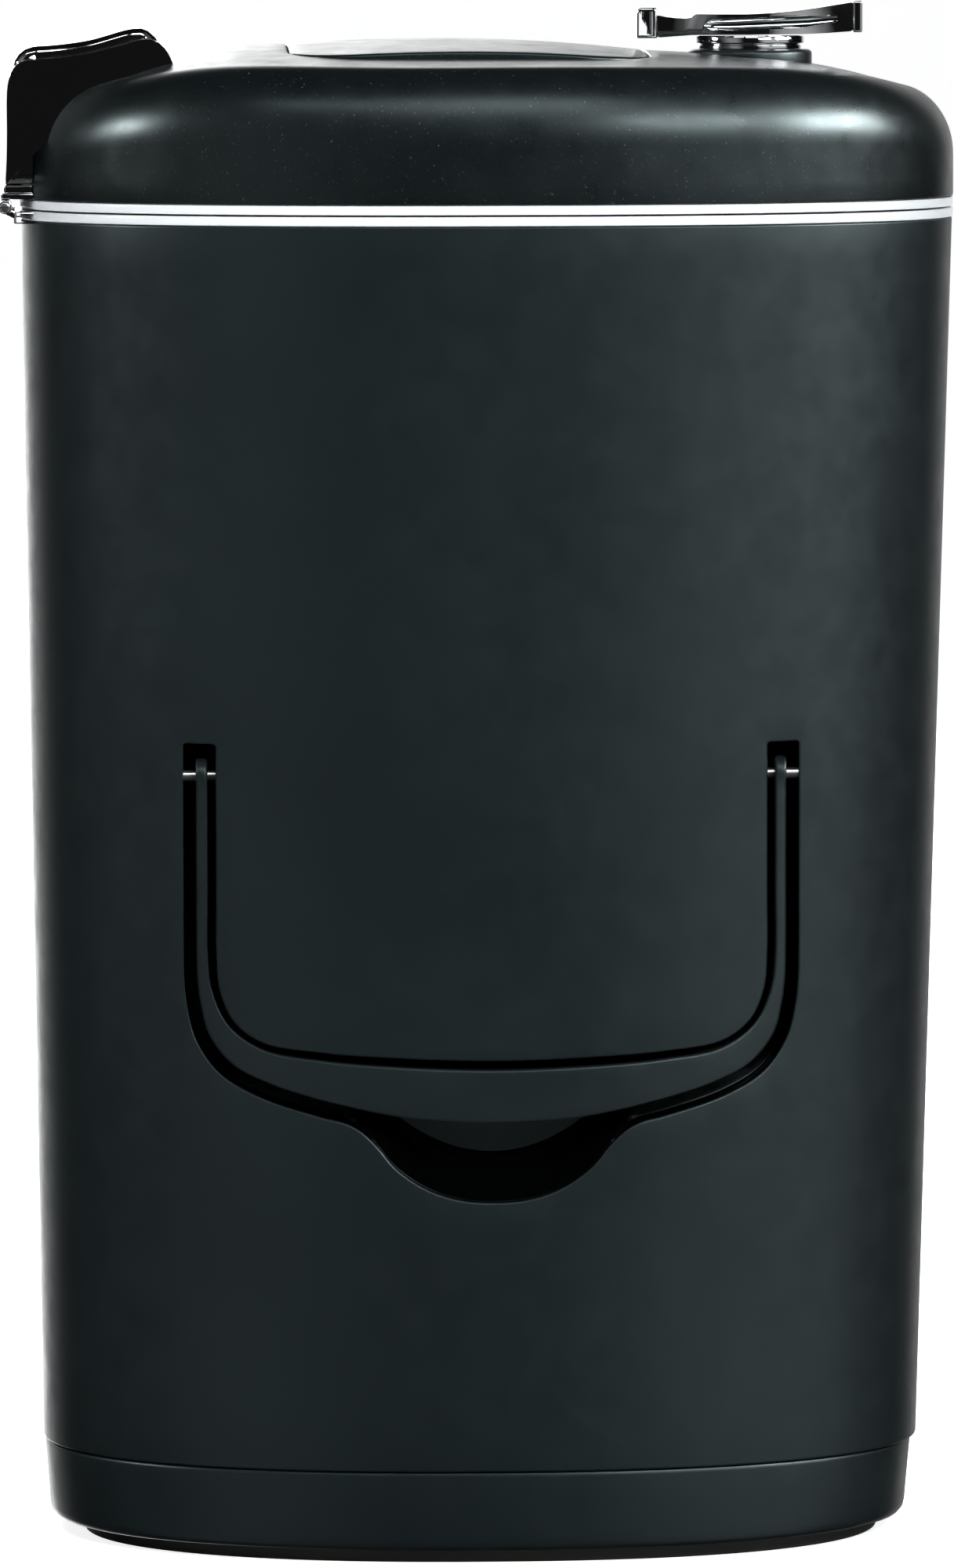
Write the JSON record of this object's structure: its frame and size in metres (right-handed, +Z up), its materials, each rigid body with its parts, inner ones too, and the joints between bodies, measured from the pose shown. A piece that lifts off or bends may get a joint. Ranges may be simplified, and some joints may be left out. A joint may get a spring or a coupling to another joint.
{
  "type": "trash compactor",
  "caption": "Manual kitchen trash compactor: tapered oval bin with fold-out carry handles, hinged latching lid, and a hand press on scissor linkages under the lid.",
  "frame": {"origin": "on the floor, under the middle of the whole object", "axes": "+Z up, +X towards the latch lever, away from the lid hinge"},
  "size_m": [0.4108, 0.2928, 0.659],
  "materials": {
    "body_plastic": "fine moulded grain, satin",
    "lid_plastic": "spark-eroded texture, semi gloss",
    "handle_plastic": "satin",
    "gloss_black": "polished",
    "white_plastic": "smooth",
    "chrome": "polished",
    "steel": "brushed",
    "rubber": "matte",
    "grey_nylon": "matte"
  },
  "bodies": {
    "bin": {"body_shell": "body_plastic", "base_tray": "body_plastic", "foot_ring": "rubber", "body_rim_ring": "white_plastic", "bag_ring": "grey_nylon", "hinge_bracket": "chrome", "hinge_pin": "steel", "handle_pin_far_front": "steel", "handle_pin_far_rear": "steel", "handle_pin_near_front": "steel", "handle_pin_near_rear": "steel"},
    "handle_near": {"handle_near": "handle_plastic"},
    "handle_far": {"handle_far": "handle_plastic"},
    "lid": {"lid_shell": "lid_plastic", "lid_ring": "white_plastic", "lid_gasket": "rubber", "press_frame": "grey_nylon", "hinge_strap": "chrome", "hinge_arm": "chrome", "hinge_arm_cap": "chrome", "turret_base": "gloss_black", "shaft_bush": "grey_nylon", "frame_rail_near": "steel", "frame_rail_far": "steel", "frame_pivot_pin_near": "steel", "frame_pivot_pin_far": "steel", "return_spring_near": "steel", "return_spring_far": "steel"},
    "latch": {"lever": "chrome", "lever_collar": "chrome", "latch_shaft": "steel", "latch_tongue": "steel", "latch_pad": "rubber", "shaft_clip": "steel"},
    "press": {"press_cap": "lid_plastic", "press_plate": "grey_nylon", "plate_wiper": "rubber", "plate_rail_near": "steel", "plate_rail_far": "steel", "plate_pivot_pin_near": "steel", "plate_pivot_pin_far": "steel", "press_post_far_front": "grey_nylon", "press_post_far_rear": "grey_nylon", "press_post_near_front": "grey_nylon", "press_post_near_rear": "grey_nylon"},
    "scissor_a_near": {"scissor_arm_a_near": "steel", "scissor_pin_near": "steel", "slide_pin_a_near": "steel"},
    "scissor_b_near": {"scissor_arm_b_near": "steel", "slide_pin_b_near": "steel"},
    "scissor_a_far": {"scissor_arm_a_far": "steel", "scissor_pin_far": "steel", "slide_pin_a_far": "steel"},
    "scissor_b_far": {"scissor_arm_b_far": "steel", "slide_pin_b_far": "steel"}
  },
  "joints": [
    {"name": "lid_hinge", "type": "hinge", "parent": "bin", "child": "lid", "pos_m": [-0.20245, 0, 0.5723], "axis": [0, -1, 0], "range_deg": [0, 95]},
    {"name": "handle_near_swing", "type": "hinge", "parent": "bin", "child": "handle_near", "pos_m": [0.002, -0.1102, 0.334], "axis": [-1, 0, 0], "range_deg": [0, 110]},
    {"name": "handle_far_swing", "type": "hinge", "parent": "bin", "child": "handle_far", "pos_m": [0.002, 0.1102, 0.334], "axis": [1, 0, 0], "range_deg": [0, 110]},
    {"name": "latch_turn", "type": "hinge", "parent": "lid", "child": "latch", "pos_m": [0.11805, 0, 0.6], "axis": [0, 0, 1], "range_deg": [0, 90]},
    {"name": "press_travel", "type": "hinge", "parent": "lid", "child": "scissor_a_near", "pos_m": [-0.08145, -0.105, 0.5635], "axis": [0, 1, 0], "range_deg": [0, 46], "stiffness_Nm_per_rad": 4, "springref_deg": -34.38},
    {"name": "scissor_cross_near", "type": "hinge", "parent": "scissor_a_near", "child": "scissor_b_near", "pos_m": [-0.00377, -0.107, 0.5565], "axis": [0, 1, 0], "range_deg": [-93, 1]},
    {"name": "plate_level", "type": "hinge", "parent": "scissor_b_near", "child": "press", "pos_m": [-0.08145, -0.105, 0.5495], "axis": [0, 1, 0], "range_deg": [-1, 47]},
    {"name": "scissor_travel_far", "type": "hinge", "parent": "lid", "child": "scissor_a_far", "pos_m": [-0.08145, 0.105, 0.5635], "axis": [0, 1, 0], "range_deg": [-1, 47]},
    {"name": "scissor_cross_far", "type": "hinge", "parent": "scissor_a_far", "child": "scissor_b_far", "pos_m": [-0.00377, 0.107, 0.5565], "axis": [0, 1, 0], "range_deg": [-93, 1]}
  ],
  "couplings": [
    {"joint": "scissor_cross_near", "follows": "press_travel", "ratio": -2},
    {"joint": "plate_level", "follows": "press_travel", "ratio": 1},
    {"joint": "scissor_travel_far", "follows": "press_travel", "ratio": 1},
    {"joint": "scissor_cross_far", "follows": "press_travel", "ratio": -2}
  ]
}
